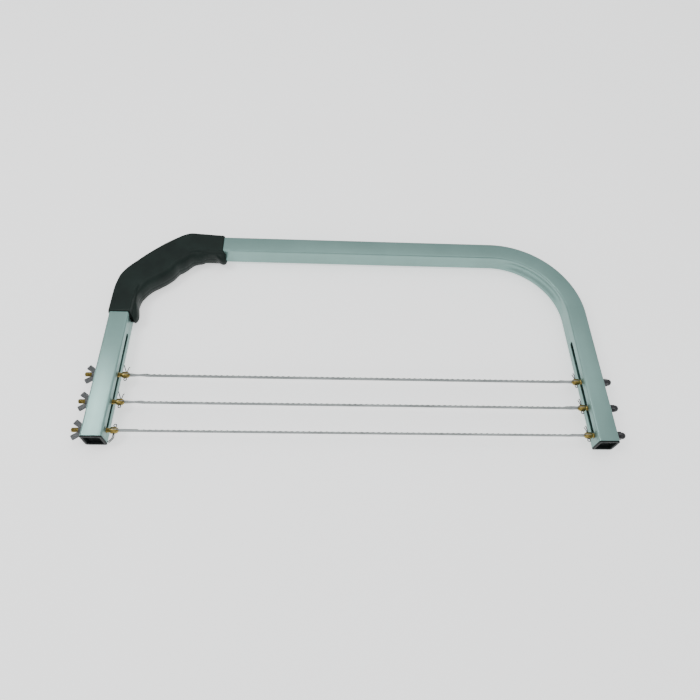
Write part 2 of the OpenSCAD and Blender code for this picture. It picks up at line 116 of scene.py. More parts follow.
# ------------------------------------------------------------------ materials
class Paint:
    """A node material under construction. Its patterns are in the piece's own metres."""

    noise_low = 0.3
    noise_high = 0.7

    def __init__(self, name, colour, metallic, roughness, **sockets):
        self.material = bpy.data.materials.new(name)
        self.material.use_nodes = True
        self.tree = self.material.node_tree
        self.shader = self.tree.nodes["Principled BSDF"]
        self.shader.inputs["Base Color"].default_value = (*colour, 1)
        self.shader.inputs["Metallic"].default_value = metallic
        self.shader.inputs["Roughness"].default_value = roughness
        for socket, value in sockets.items():
            self.shader.inputs[socket.replace("_", " ")].default_value = value
        self.material.diffuse_color = (*colour, 1)

    def node(self, kind, **inputs):
        made = self.tree.nodes.new(kind)
        for socket, value in inputs.items():
            target = made.inputs[socket.replace("_", " ")]
            if isinstance(value, bpy.types.NodeSocket):
                self.tree.links.new(value, target)
            else:
                target.default_value = value
        return made

    def coordinates(self, stretch=(1, 1, 1), along_sweep=False):
        source = self.node("ShaderNodeTexCoord").outputs["UV" if along_sweep else "Object"]
        return self.node("ShaderNodeMapping", Vector=source, Scale=stretch).outputs[0]

    def noise(self, scale, detail=3.0, roughness=0.55, stretch=(1, 1, 1), along_sweep=False):
        made = self.node("ShaderNodeTexNoise", Vector=self.coordinates(stretch, along_sweep),
                         Scale=scale, Detail=detail, Roughness=roughness)
        return made.outputs["Fac"]

    def speckle(self, scale, stretch=(1, 1, 1)):
        made = self.node("ShaderNodeTexVoronoi", Vector=self.coordinates(stretch), Scale=scale)
        return made.outputs["Distance"]

    def ramp(self, factor, *stops):
        made = self.node("ShaderNodeValToRGB", Fac=factor)
        points = made.color_ramp.elements
        while len(points) < len(stops):
            points.new(0.5)
        for point, (position, colour) in zip(points, stops):
            point.position = position
            point.color = (*colour, 1)
        return made.outputs["Color"]

    def span(self, factor, low, high):
        """A pattern's usual values, spread from low to high."""
        made = self.node("ShaderNodeMapRange", Value=factor)
        made.inputs["From Min"].default_value = self.noise_low
        made.inputs["From Max"].default_value = self.noise_high
        made.inputs["To Min"].default_value = low
        made.inputs["To Max"].default_value = high
        return made.outputs[0]

    def worn_edges(self, base, worn, threshold, amount):
        """The base colour with the worn one on convex edges."""
        flat = 0.5
        fade = 0.06
        pointiness = self.node("ShaderNodeNewGeometry").outputs["Pointiness"]
        made = self.node("ShaderNodeMapRange", Value=pointiness)
        made.inputs["From Min"].default_value = flat + threshold
        made.inputs["From Max"].default_value = flat + fade + threshold
        made.inputs["To Max"].default_value = amount
        mix = self.node("ShaderNodeMix")
        mix.data_type = "RGBA"
        colours = [i for i in mix.inputs if i.type == "RGBA"]
        self.tree.links.new(made.outputs[0], mix.inputs["Factor"])
        self.tree.links.new(base, colours[0])
        colours[1].default_value = (*worn, 1)
        return next(o for o in mix.outputs if o.type == "RGBA")

    def colour(self, socket):
        self.tree.links.new(socket, self.shader.inputs["Base Color"])

    def rough(self, socket):
        self.tree.links.new(socket, self.shader.inputs["Roughness"])

    def bump(self, height, strength, depth_mm):
        below = self.shader.inputs["Normal"]
        made = self.node("ShaderNodeBump", Strength=strength, Distance=depth_mm * MM, Height=height)
        if below.is_linked:
            self.tree.links.new(below.links[0].from_socket, made.inputs["Normal"])
        self.tree.links.new(made.outputs[0], below)


def satin_aluminium():
    paint = Paint("anodised_aluminium", (0.20, 0.33, 0.30), 0.72, 0.36)
    cloud = paint.noise(16, 4)
    lines = paint.noise(1, 2, 0.6, (0.9, 380, 1), along_sweep=True)
    paint.colour(paint.ramp(cloud, (0.32, (0.185, 0.305, 0.28)), (0.68, (0.215, 0.35, 0.325))))
    paint.rough(paint.span(lines, 0.30, 0.42))
    paint.bump(lines, 0.10, 0.05)
    paint.bump(paint.noise(5200, 2), 0.06, 0.02)
    return paint.material


def moulded_black():
    paint = Paint("moulded_black", (0.008, 0.014, 0.012), 0.0, 0.46, Specular_IOR_Level=0.15)
    cloud = paint.noise(42, 4)
    paint.colour(paint.ramp(cloud, (0.3, (0.0075, 0.0130, 0.0112)), (0.7, (0.0125, 0.0215, 0.0185))))
    paint.rough(paint.span(paint.noise(90, 3), 0.40, 0.54))
    paint.bump(paint.speckle(2300), 0.14, 0.06)
    paint.bump(paint.noise(160, 3), 0.10, 0.20)
    return paint.material


def plug_black():
    paint = Paint("plug_black", (0.006, 0.008, 0.008), 0.0, 0.48, Specular_IOR_Level=0.12)
    cloud = paint.noise(240, 4)
    paint.colour(paint.ramp(cloud, (0.3, (0.007, 0.0095, 0.0092)), (0.7, (0.013, 0.017, 0.0165))))
    paint.rough(paint.span(paint.noise(500, 3), 0.40, 0.58))
    paint.bump(paint.speckle(2600), 0.16, 0.05)
    return paint.material


def turned_brass():
    paint = Paint("turned_brass", (0.42, 0.29, 0.075), 0.95, 0.30)
    tarnish = paint.noise(420, 5, 0.65)
    rings = paint.noise(1, 2, 0.5, (5200, 160, 160))
    paint.colour(paint.worn_edges(
        paint.ramp(tarnish, (0.32, (0.10, 0.070, 0.020)), (0.66, (0.30, 0.225, 0.060))),
        (0.50, 0.39, 0.13), 0.01, 0.6))
    paint.rough(paint.span(tarnish, 0.40, 0.24))
    paint.bump(rings, 0.16, 0.04)
    return paint.material


def ground_steel():
    paint = Paint("ground_blade_steel", (0.36, 0.38, 0.38), 0.9, 0.34)
    across = paint.noise(1, 3, 0.6, (2600, 120, 90))
    cloud = paint.noise(60, 4)
    paint.colour(paint.ramp(cloud, (0.3, (0.13, 0.145, 0.145)), (0.7, (0.24, 0.26, 0.26))))
    paint.rough(paint.span(across, 0.26, 0.46))
    paint.bump(across, 0.14, 0.03)
    return paint.material


def dull_zinc(name="dull_zinc", dark=(0.055, 0.058, 0.060), light=(0.125, 0.130, 0.132)):
    paint = Paint(name, light, 0.6, 0.5)
    spangle = paint.noise(520, 5, 0.6)
    paint.colour(paint.worn_edges(paint.ramp(spangle, (0.3, dark), (0.72, light)),
                                  tuple(1.7 * c for c in light), 0.01, 0.55))
    paint.rough(paint.span(paint.noise(900, 4), 0.42, 0.6))
    paint.bump(paint.noise(1500, 4), 0.20, 0.07)
    return paint.material


def black_oxide():
    paint = Paint("black_oxide", (0.03, 0.031, 0.033), 0.6, 0.38)
    film = paint.noise(460, 5)
    paint.colour(paint.worn_edges(
        paint.ramp(film, (0.3, (0.018, 0.018, 0.020)), (0.7, (0.045, 0.046, 0.050))),
        (0.16, 0.16, 0.165), 0.01, 0.7))
    paint.rough(paint.span(film, 0.46, 0.30))
    paint.bump(paint.noise(1400, 3), 0.16, 0.05)
    return paint.material


MATERIALS = {
    "satin_aluminium": satin_aluminium(),
    "black_plastic": moulded_black(),
    "plug_plastic": plug_black(),
    "brass": turned_brass(),
    "blade_steel": ground_steel(),
    "nut_steel": dull_zinc(),
    "pin_steel": dull_zinc("pin_wire", (0.03, 0.033, 0.033), (0.075, 0.08, 0.08)),
    "dark_steel": black_oxide(),
}


# ------------------------------------------------------------------ mesh tools
def skin(rings, closed=False):
    """Vertices and faces over rings of points. Its ends are capped, or joined if it is closed."""
    m = len(rings[0])
    verts = [p for ring in rings for p in ring]
    faces = []
    for i in range(len(rings) - (0 if closed else 1)):
        a, b = i * m, (i + 1) % len(rings) * m
        faces += [(a + j, a + (j + 1) % m, b + (j + 1) % m, b + j) for j in range(m)]
    if not closed:
        faces += [tuple(range(m)), tuple(range((len(rings) - 1) * m, len(rings) * m))]
    return verts, faces


def mesh_object(name, *parts):
    """One object from (vertices, faces) parts, with its normals outwards."""
    mesh = bpy.data.meshes.new(name)
    verts, faces = [], []
    for part_verts, part_faces in parts:
        faces += [tuple(i + len(verts) for i in face) for face in part_faces]
        verts += part_verts
    mesh.from_pydata(verts, [], faces)
    work = bmesh.new()
    work.from_mesh(mesh)
    bmesh.ops.recalc_face_normals(work, faces=work.faces)
    work.to_mesh(mesh)
    work.free()
    made = bpy.data.objects.new(name, mesh)
    bpy.context.scene.collection.objects.link(made)
    return made


def settle(obj):
    """Applies obj's modifiers."""
    graph = bpy.context.evaluated_depsgraph_get()
    done = bpy.data.meshes.new_from_object(obj.evaluated_get(graph))
    obj.modifiers.clear()
    old, obj.data = obj.data, done
    bpy.data.meshes.remove(old)


def cut(obj, *cutters):
    """Cuts the cutters out of obj and removes them."""
    for cutter in cutters:
        tool = obj.modifiers.new("cut", "BOOLEAN")
        tool.operation = "DIFFERENCE"
        tool.solver = "EXACT"
        tool.object = cutter
    settle(obj)
    for cutter in cutters:
        bpy.data.objects.remove(cutter)


def bevel(obj, width, segments=2, angle=35):
    """Rounds obj's edges that are sharper than angle, in degrees."""
    tool = obj.modifiers.new("bevel", "BEVEL")
    tool.width = width * MM
    tool.segments = segments
    tool.limit_method = "ANGLE"
    tool.angle_limit = math.radians(angle)
    tool.use_clamp_overlap = True
    tool.miter_outer = "MITER_ARC"
    settle(obj)


def finish_piece(obj, body, slot, replaces=(), sharp=40):
    """Shades obj, gives it its slot's material and lets it ride on its body."""
    for polygon in obj.data.polygons:
        polygon.use_smooth = True
    obj.data.set_sharp_from_angle(angle=math.radians(sharp))
    obj.data.materials.clear()
    obj.data.materials.append(MATERIALS[slot])
    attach(obj, body)
    if replaces:
        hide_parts(*replaces)
    return obj


def arc_steps(start, stop, count):
    """count equal steps from start to stop, with both ends."""
    return [start + (stop - start) * i / count for i in range(count + 1)]


def cylinder_between(name, a, b, radius, segments=40):
    """A cylinder between two points of the drawing frame."""
    axis = (Vector(b) - Vector(a)).normalized()
    side = axis.orthogonal().normalized()
    other = axis.cross(side)
    turn = [math.tau * i / segments for i in range(segments)]
    rings = [[place(*(Vector(end) + radius * (math.cos(t) * side + math.sin(t) * other))) for t in turn]
             for end in (a, b)]
    return mesh_object(name, skin(rings))


def outward(side, x, y):
    """The map to the row frame for points whose +Z leads outwards from a face at x."""
    def to_place(p):
        return place(side * (x + p[2]), y + p[1], -side * p[0])
    return to_place


def smooth(v):
    """An S-shaped step: 0 up to v = 0, and 1 from v = 1."""
    t = min(1, max(0, v))
    return t * t * (3 - 2 * t)


def quarter(v):
    """The rise of a quarter circle: steep at v = 0, and level at 1 from v = 1."""
    return math.sqrt(1 - (1 - min(1, max(0, v))) ** 2)


# ------------------------------------------------------------------ centre line of the grip
corner_x = 203.5
corner_y = 196
hidden_r = 40
grip_low = 149
grip_end = 158
slope = math.atan2(bar_y - corner_y, leg_x - corner_x)
turns = (math.pi / 2 - slope, slope)
tangents = [hidden_r * math.tan(t / 2) for t in turns]
s_leg = corner_y - tangents[0] - grip_low
s_low = s_leg + hidden_r * turns[0]
slope_way = Vector((math.cos(slope), math.sin(slope)))
rise_start = Vector((-leg_x, corner_y)) + tangents[0] * slope_way
rise_end = Vector((-corner_x, bar_y)) - tangents[1] * slope_way
s_rise = s_low + (rise_end - rise_start).length
s_high = s_rise + hidden_r * turns[1]
s_end = s_high + corner_x - tangents[1] - grip_end


def centre_line(s):
    """Place and heading of the tube's centre line, s from the grip's lower end."""
    def on_arc(cx, cy, heading):
        return cx - hidden_r * math.sin(heading), cy + hidden_r * math.cos(heading), heading
    if s < s_leg:
        return -leg_x, grip_low + s, math.pi / 2
    if s < s_low:
        return on_arc(hidden_r - leg_x, corner_y - tangents[0], math.pi / 2 - (s - s_leg) / hidden_r)
    if s < s_rise:
        p = rise_start + (s - s_low) * slope_way
        return p.x, p.y, slope
    if s < s_high:
        centre = rise_end + hidden_r * Vector((math.sin(slope), -math.cos(slope)))
        return on_arc(centre.x, centre.y, slope - (s - s_rise) / hidden_r)
    return s - s_high - corner_x + tangents[1], bar_y, 0.0


def off_line(s, n, z):
    """The point at s that is n outwards from the centre line and z above it."""
    x, y, heading = centre_line(s)
    return place(x - n * math.sin(heading), y + n * math.cos(heading), z)


# ------------------------------------------------------------------ frame tube
def rounded_square(half, radius, dent=0.0, corner_steps=6, dent_steps=14):
    """A square ring as (n, z), with its inner side, at -n, pressed in by dent."""
    c = half - radius
    ring = []
    for q in range(4):
        angles = arc_steps(q * math.pi / 2, (q + 1) * math.pi / 2, corner_steps)
        sx = (1, -1, -1, 1)[q]
        sz = (1, 1, -1, -1)[q]
        ring += [(c * sx + radius * math.cos(a), c * sz + radius * math.sin(a)) for a in angles]
        if q == 1:
            ring += [(dent * math.sin(math.pi * t) ** 2 - half, c * (1 - 2 * t))
                     for t in (i / dent_steps for i in range(1, dent_steps))]
    return ring


def tube_path():
    """The tube's centre line as (x, y, heading, dent), from the left leg's end to the right one's."""
    hidden_steps = 16
    bend_steps = 60
    trough_run = math.radians(26)
    path = [(-leg_x, 0, math.pi / 2, 0)]
    path += [(*centre_line(s), 0) for s in arc_steps(s_leg, s_low, hidden_steps)]
    path += [(*centre_line(s), 0) for s in arc_steps(s_rise, s_high, hidden_steps)]
    cx = leg_x - bend_r
    cy = bar_y - bend_r
    for a in arc_steps(0, math.pi / 2, bend_steps):
        dent = trough * smooth(min(a, math.pi / 2 - a) / trough_run)
        path.append((cx + bend_r * math.sin(a), cy + bend_r * math.cos(a), -a, dent))
    path.append((leg_x, 0, -math.pi / 2, 0))
    return path


def leg_slot(x):
    """Cutter for a long round-ended slot through both walls of a leg."""
    radius = slot_w / 2
    low = level_y[0]
    high = low + slot_travel
    half_turn = arc_steps(0, math.pi, 20)
    outline = [(low - radius * math.sin(a), radius * math.cos(a)) for a in half_turn]
    outline += [(high + radius * math.sin(a), -radius * math.cos(a)) for a in half_turn]
    return mesh_object("slot_tool", skin([[place(end, y, z) for y, z in outline]
                                          for end in (x - tube, x + tube)]))


def frame_tube():
    """The bent tube with its slots. Its UV map runs along the tube and round it, for the drawn lines."""
    inner_edge = 0.5
    slot_edge = 0.22
    girth = 4 * tube * MM
    path = tube_path()
    outer, inner, reached = [], [], [0.0]
    for i, (x, y, heading, dent) in enumerate(path):
        if i:
            reached.append(reached[-1] + math.dist(path[i - 1][:2], (x, y)))
        for rings, half, radius in ((outer, tube / 2, tube_edge), (inner, tube / 2 - wall, inner_edge)):
            rings.append([place(x - n * math.sin(heading), y + n * math.cos(heading), z)
                          for n, z in rounded_square(half, radius, dent)])
    made = mesh_object("frame_tube_bent", skin(outer + inner[::-1], closed=True))
    m = len(outer[0])
    where = {}
    for i, ring in enumerate(outer + inner[::-1]):
        for j, p in enumerate(ring):
            where[i * m + j] = (reached[min(i, 2 * len(outer) - 1 - i)] * MM, j / m * girth)
    layer = made.data.uv_layers.new(name="sweep")
    for polygon in made.data.polygons:
        spots = [where[v] for v in polygon.vertices]
        on_seam = max(p[1] for p in spots) - min(p[1] for p in spots) > girth / 2
        for loop, spot in zip(polygon.loop_indices, spots):
            wrapped = spot[1] + (girth if on_seam and spot[1] < girth / 2 else 0)
            layer.data[loop].uv = (spot[0], wrapped)
    cut(made, leg_slot(-leg_x), leg_slot(leg_x))
    bevel(made, slot_edge, 2, 50)
    finish_piece(made, "frame", "satin_aluminium", ["frame_tube"], 30)


def end_plug(node, x):
    """A plug with a skirt in the tube, a flange under the tube's end and an open recess."""
    skirt = tube / 2 - wall - 0.1
    skirt_edge = 0.5
    skirt_top = 6.3
    hollow = skirt - 1.4
    edge = 0.35
    lip = 0.3
    recess_top = 3
    rows = [(skirt, skirt_edge, skirt_top), (skirt, skirt_edge, 0.05), (tube / 2 - 0.05, tube_edge, 0.02)]
    rows += [(tube / 2 - edge * (1 - math.cos(a)), tube_edge, -plug_flange + edge - edge * math.sin(a))
             for a in arc_steps(0, math.pi / 2, 5)]
    rows += [(hollow + lip * (1 - math.sin(a)), 1.1, -plug_flange + lip * (1 - math.cos(a)))
             for a in arc_steps(0, math.pi / 2, 4)]
    rows += [(hollow - 0.1, 1, recess_top - 0.6), (hollow - 0.6, 0.8, recess_top)]
    rings = [[place(x + n, y, z) for n, z in rounded_square(half, radius, dent_steps=1)]
             for half, radius, y in rows]
    made = mesh_object(node + "_moulded", skin(rings))
    finish_piece(made, "frame", "plug_plastic", [node], 35)


# ------------------------------------------------------------------ grip
outer_line = [(0, 12.5), (22, 12.3), (33, 12.1), (40, 12.4), (47, 13.5), (56, 13.9), (68, 14.6),
              (80, 15.5), (95, 15.8), (108, 15.4), (116, 14.7), (122, 15), (128, 16), (134, 16.6),
              (141, 15.1), (150, 14.5), (160, 13.8), (172, 13.1)]
finger_line = [(0, 20.2), (4, 19.5), (10, 17.9), (17, 16.4), (25, 16.8), (33, 20.5), (42, 22.3),
               (52, 23.2), (62, 23.5), (72, 25), (82, 25.8), (91, 25.4), (97, 23.7), (101, 22.1),
               (105, 23.4), (111, 23.9), (122, 22.7), (130, 21.4), (138, 21.5), (146, 20.8),
               (151, 17.2), (158, 15.3), (163, 16.2), (168, 21.4), (172, 24)]
rib_line = [(0, 8), (18, 9), (38, 11.5), (58, grip_half), (106, grip_half), (126, 12),
            (145, 10.2), (152, 8.6), (160, 8), (172, 9)]
crease_line = [(0, 11.9), (14, 11.9), (32, 13.4), (50, 14.4), (62, 14.6), (100, 14.6),
               (120, 14.4), (136, 12.8), (149, 11.9), (172, 11.9)]
edge_r = 3.5
rim_r = 2.2
crease_w = 2.4
nose_len = 5
nose_drop = 4
horn_low = 6.3
horn_high = 3.8
horn_fade = 12
channel = tube / 2 + 0.12
parting = 0.02
seam = 0.28
inset = 0.08
screw_spots = [(41, 15.8), (84, 17), (126, 15.6)]
screw_seat = 6.5
seat_r = 3


def along(points, s):
    """A smooth curve through points."""
    if s <= points[0][0]:
        return points[0][1]
    if s >= points[-1][0]:
        return points[-1][1]
    i = next(k for k in range(len(points) - 1) if s <= points[k + 1][0])

    def slope_at(k):
        a, b = points[max(k - 1, 0)], points[min(k + 1, len(points) - 1)]
        return (b[1] - a[1]) / (b[0] - a[0])
    (s0, v0), (s1, v1) = points[i], points[i + 1]
    w = s1 - s0
    t = (s - s0) / w
    return ((2 * t**3 - 3 * t**2 + 1) * v0 + (t**3 - 2 * t**2 + t) * w * slope_at(i)
            + (3 * t**2 - 2 * t**3) * v1 + (t**3 - t**2) * w * slope_at(i + 1))


def grip_section(s, e):
    """Half section at s, e from the nearer end, from the outer parting edge to the finger-side one."""
    rib_end = 0.35
    tip_limit = 7
    outer = along(outer_line, s) - inset
    finger = along(finger_line, s) - nose_drop * (1 - quarter(e / nose_len))
    top = grip_half - rim_r * (1 - quarter(e / rim_r))
    rib = min(top, along(rib_line, s)) * (rib_end + (1 - rib_end) * quarter(e / nose_len))
    crease = along(crease_line, s)
    tip = min(tip_limit, finger - crease - crease_w)
    ring = [(outer - seam, parting), (outer - seam * 0.3, seam * 0.7), (outer, seam * 1.6)]
    ring += [(outer, seam * 1.6 + (top - edge_r) * f) for f in (0.3, 0.6)]
    ring += [(outer - edge_r * (1 - math.cos(a)), top - edge_r * (1 - math.sin(a)))
             for a in arc_steps(0, math.pi / 2, 9)]
    flat = outer - edge_r + crease
    ring += [(outer - edge_r - flat * f, top) for f in (0.2, 0.4, 0.6, 0.8, 0.95, 1)]
    ring += [(-crease - crease_w * t, top - (top - rib) * smooth(t)) for t in arc_steps(0, 1, 8)[1:]]
    ring += [(-(finger - tip) - tip * math.cos(a), rib * math.sin(a))
             for a in arc_steps(math.radians(84), math.radians(6), 13)]
    ring += [(-finger + seam, parting)]
    return ring


def with_horns(s, n):
    """s, moved past the faces' ends on the finger side, where the grip has two horns."""
    horn_root = 0.3
    horn_run = 4
    horn = smooth((-n - channel - horn_root) / horn_run)
    low = horn_low * horn * max(0, min(1, 1 - s / horn_fade)) ** 2
    high = horn_high * horn * max(0, min(1, 1 - (s_end - s) / horn_fade)) ** 2
    return s - low + high


def half_shell(name, sign):
    """One half of the grip, in front for sign 1. Its rows are closer together at both ends."""
    row_gap = 1.25
    even_from = 10
    near = [0, 0.12, 0.35, 0.7, 1.1, 1.6, 2.2, 2.9, 3.7, 4.6, 5.6, 6.7, 7.8, 9]
    count = round((s_end - 2 * even_from) / row_gap)
    rows = near + arc_steps(even_from, s_end - even_from, count) + [s_end - d for d in reversed(near)]
    inner = [(-channel, parting), (-channel, channel), (channel, channel), (channel, parting)]
    rings = []
    for s in rows:
        section = grip_section(s, min(s, s_end - s)) + inner
        rings.append([off_line(with_horns(s, n), n, sign * z) for n, z in section])
    return mesh_object(name, skin(rings))


def screw_line(spot, z):
    """The point of a screw's axis at height z, in the drawing frame."""
    p = off_line(spot[0], -spot[1], z) / MM
    return Vector((p.x, p.y + middle_y, p.z - middle_z))


def grip_shells():
    front = half_shell("grip_front_moulding", 1)
    finish_piece(front, "frame", "black_plastic", ["grip_front_shell"], 46)
    back = half_shell("grip_back_moulding", -1)
    cut(back, *[
        cylinder_between("hole_tool", screw_line(spot, -grip_half - 1), screw_line(spot, -screw_seat), seat_r)
        for spot in screw_spots])
    finish_piece(back, "frame", "black_plastic", ["grip_back_shell"], 46)


def grip_screws():
    """Pan-head screws with a cross recess, seated in the back shell."""
    head = [(0.02, 0), (1.5, 0.03), (2.2, 0.25), (2.6, 0.7), (2.7, 1.2), (2.7, 1.8), (2.5, 2.0),
            (1.5, 2.02)]
    shank = [(1.5, 10), (1.2, 14), (0.3, 14.5), (0.02, 14.5)]
    head_h = 2
    around = [math.tau * i / 40 for i in range(40)]
    first_turn = 0.35
    arm_half = 0.32
    arm_corners = [(1.5, 1), (-1.5, 1), (-1.5, -1), (1.5, -1)]
    over_head = Vector((0, 0, -0.5))
    recess_floor = Vector((0, 0, 1.1))
    recess_taper = 0.55
    for k, spot in enumerate(screw_spots):
        at = screw_line(spot, -screw_seat - head_h)
        rings = [[place(at.x + r * math.cos(t), at.y + r * math.sin(t), at.z + h) for t in around]
                 for r, h in head + shank]
        made = mesh_object(f"grip_screw_{k + 1}", skin(rings))
        tools = []
        for turn in (first_turn + k, first_turn + k + math.pi / 2):
            way = Vector((math.cos(turn), math.sin(turn), 0))
            side = Vector((-way.y, way.x, 0)) * arm_half
            tools.append(mesh_object("cross_tool", skin([
                [place(*(at + z + a * way * f + b * side * f)) for a, b in arm_corners]
                for z, f in ((over_head, 1.0), (recess_floor, recess_taper))])))
        cut(made, *tools)
        finish_piece(made, "frame", "dark_steel", ["grip_screws"] if k == 0 else (), 35)


# ------------------------------------------------------------------ blades
tooth_pitch = 6
tooth_depth = 1.2
grind_w = 1.5
plain_left = 20
plain_right = 14
TWISTS = ((0, 4), (10, -5), (12, 6))


def blade(i, level, twists):
    """A serrated strip, ground on both sides of its toothed edge. twists is its ends' twist in degrees."""
    half = blade_w / 2
    keen = 0.07
    back_cut = 0.12
    run_out = 0.6
    start = -(left_nose - plain_left)
    teeth = math.floor((-start + right_nose - plain_right) / tooth_pitch)
    stop = start + teeth * tooth_pitch
    per_tooth = 10
    stations = [(x, half) for x in arc_steps(-blade_left, start - run_out, 14)]
    for k in range(teeth * per_tooth + 1):
        scallop = math.sin(math.pi * (k % per_tooth) / per_tooth)
        stations.append((start + k * tooth_pitch / per_tooth, half - tooth_depth * scallop))
    stations += [(x, half) for x in arc_steps(stop + run_out, blade_right, 10)]

    def twist(x):
        left = math.sin(math.pi * smooth((x + left_nose) / plain_left)) if x < start else 0
        right = math.sin(math.pi * smooth((right_nose - x) / plain_right)) if x > stop else 0
        return math.radians(twists[0] * left + twists[1] * right)
    rings = []
    for x, edge in stations:
        ground = half - edge > 0.001 or start - 0.1 <= x <= stop + 0.1
        thin = keen if ground else blade_t / 2
        shoulder = edge - (grind_w if ground else 0.1)
        ring = [(-blade_t / 2, back_cut - half), (back_cut - blade_t / 2, -half),
                (blade_t / 2 - back_cut, -half), (blade_t / 2, back_cut - half),
                (blade_t / 2, shoulder), (thin, edge), (-thin, edge), (-blade_t / 2, shoulder)]
        c = math.cos(twist(x))
        s = math.sin(twist(x))
        rings.append([place(x, level_y[i] + y * c - z * s, y * s + z * c) for y, z in ring])
    made = mesh_object(f"blade_strip_{level}", skin(rings))
    finish_piece(made, f"blade_set_{level}", "blade_steel", [f"blade_{level}"], 28)


# ------------------------------------------------------------------ studs, pins, nuts and washers
def turned(profile, to_place, segments=48, radius_at=None, closed=False):
    """A body of revolution about local Z, from (radius, height) points.

    radius_at, if given, is the largest radius at an angle.
    """
    rings = []
    for r, h in profile:
        ring = []
        for k in range(segments):
            t = math.tau * k / segments
            reach = min(r, radius_at(t)) if radius_at else r
            ring.append(to_place((reach * math.cos(t), reach * math.sin(t), h)))
        rings.append(ring)
    return skin(rings, closed)


def thread(to_place, low, high):
    """A screw thread about local Z, with turned-down ends."""
    segments = 28
    per_pitch = 7
    depth = 0.44
    groove = 1.15
    end_r = thread_d / 2 - 0.5
    end_rise = 0.6
    lead_in = 0.9
    rings = []
    for k in range(round((high - low) / thread_pitch * per_pitch) + 1):
        h = min(high, low + k * thread_pitch / per_pitch)
        ring = []
        for j in range(segments):
            phase = (h / thread_pitch - j / segments) % 1
            cut_in = 1 - smooth(abs(2 * phase - 1) * groove)
            limit = end_r + end_rise * min(h - low, high - h) / lead_in
            r = min(thread_d / 2 - depth * cut_in, limit)
            t = math.tau * j / segments
            ring.append(to_place((r * math.cos(t), r * math.sin(t), h)))
        rings.append(ring)
    return skin(rings)


def stud(node, i, level, side, nose, tail):
    """A stud with a turned head, forked for the blade and bored for the pin, on a threaded shank."""
    collar_r = 2.15
    neck_r = 2.08
    neck_end = nose + head_len + 0.3
    at = outward(side, 0, level_y[i])
    r = head_d / 2
    profile = [(0.02, nose), (0.30 * r, nose + 0.03), (0.48 * r, nose + 0.18), (0.60 * r, nose + 0.55),
               (0.80 * r, nose + 1.4), (0.92 * r, nose + 2.2), (0.975 * r, nose + 2.9), (r, nose + 3.5),
               (r, nose + 6.0), (0.985 * r, nose + 6.9), (0.94 * r, nose + head_len - 1.05),
               (0.86 * r, nose + head_len - 0.82), (collar_r, nose + head_len - 0.76),
               (neck_r, nose + head_len - 0.5), (neck_r, neck_end), (0.02, neck_end)]
    head = mesh_object(node + "_head", turned(profile, at))
    slot = mesh_object("fork_tool", skin([
        [at((a * head_d, b * fork_w / 2, h)) for a, b in ((1, 1), (-1, 1), (-1, -1), (1, -1))]
        for h in (nose - 0.5, nose + fork_depth)]))
    y = level_y[i]
    x = side * (nose + pin_in)
    pin_hole = cylinder_between("pin_tool", (x, y - head_d, 0), (x, y + head_d, 0), pin_hole_r, 28)
    cut(head, slot, pin_hole)
    bevel(head, 0.12, 2, 40)
    body = f"blade_set_{level}"
    finish_piece(head, body, "brass", [node], 32)
    shank = mesh_object(node + "_thread", thread(at, nose + head_len + 0.05, tail))
    finish_piece(shank, body, "brass", (), 50)


def curve_through(points, steps):
    """Points of a smooth curve through the given ones."""
    out = []
    for i in range(len(points) - 1):
        p0, p1, p2, p3 = (points[max(0, min(len(points) - 1, i + d))] for d in (-1, 0, 1, 2))
        for t in (k / steps for k in range(steps)):
            out.append(0.5 * (2 * p1 + (p2 - p0) * t + (2 * p0 - 5 * p1 + 4 * p2 - p3) * t * t
                              + (3 * p1 - p0 - 3 * p2 + p3) * t**3))
    return out + [points[-1]]


def wire(points, radius, segments=14):
    """A round wire with rounded ends along points."""
    round_end = [(0.9, 0.3), (0.5, 0.8), (0, 1)]
    rings = []
    side = None
    for i, p in enumerate(points):
        way = (points[min(i + 1, len(points) - 1)] - points[max(i - 1, 0)]).normalized()
        if side is None:
            side = way.orthogonal().normalized()
        side = (side - way * side.dot(way)).normalized()
        other = way.cross(side)
        steps = [(0, 1)]
        if i == 0:
            steps = round_end
        elif i == len(points) - 1:
            steps = [(-back, f) for back, f in reversed(round_end)]
        for back, f in steps:
            rings.append([p - way * back * radius + f * radius * (math.cos(t) * side + math.sin(t) * other)
                          for t in (math.tau * k / segments for k in range(segments))])
    return skin(rings)


pin_half = 4
leg_r = 0.48
eye_r = 1.4
# The bent ends of a pin's two legs, from the pin's middle: across it, along it, and upwards.
UPPER_LEGS = ([(0.9, 5, 0), (1.6, 8.2, 0.3), (2.6, 9, 0.5)], [(-0.9, 4.8, 0), (-4.2, 12, -0.6)])
LOWER_LEGS = ([(0.6, 5, -0.2), (-0.2, 8, -2), (-5.2, 11, -6.2)],
              [(-0.6, 4.8, -0.4), (-1.8, 7.8, -2.4), (-6.4, 10.2, -6)])
RIGHT_LEGS = ([(0.5, 5.4, 0.1), (-0.1, 9.6, 0.5), (-0.9, 10.4, 0.6)],
              [(-0.6, 5.4, -0.2), (-1.6, 9.4, -0.9)])


def split_pin(node, i, level, x, legs, flip=1):
    """A pin of one folded wire: a leg, the shank, the eye, and back to the other leg."""
    first, second = legs
    apart = leg_r + 0.02
    eye_y = -pin_half - eye_r + 0.1
    shank = (pin_half, 1.5, -1.5, 0.35 - pin_half)
    route = [Vector(p) for p in reversed(first)]
    route += [Vector((apart, y, 0)) for y in shank]
    route += [Vector((eye_r * math.sin(a), eye_y + eye_r * math.cos(a), 0))
              for a in arc_steps(math.radians(50), math.radians(310), 8)]
    route += [Vector((-apart, y, 0)) for y in reversed(shank)]
    route += [Vector(p) for p in second]
    bent = [place(x + p.x, level_y[i] + flip * p.y, p.z) for p in curve_through(route, 5)]
    made = mesh_object(node + "_wire", wire(bent, leg_r * MM))
    finish_piece(made, f"blade_set_{level}", "pin_steel", [node], 60)


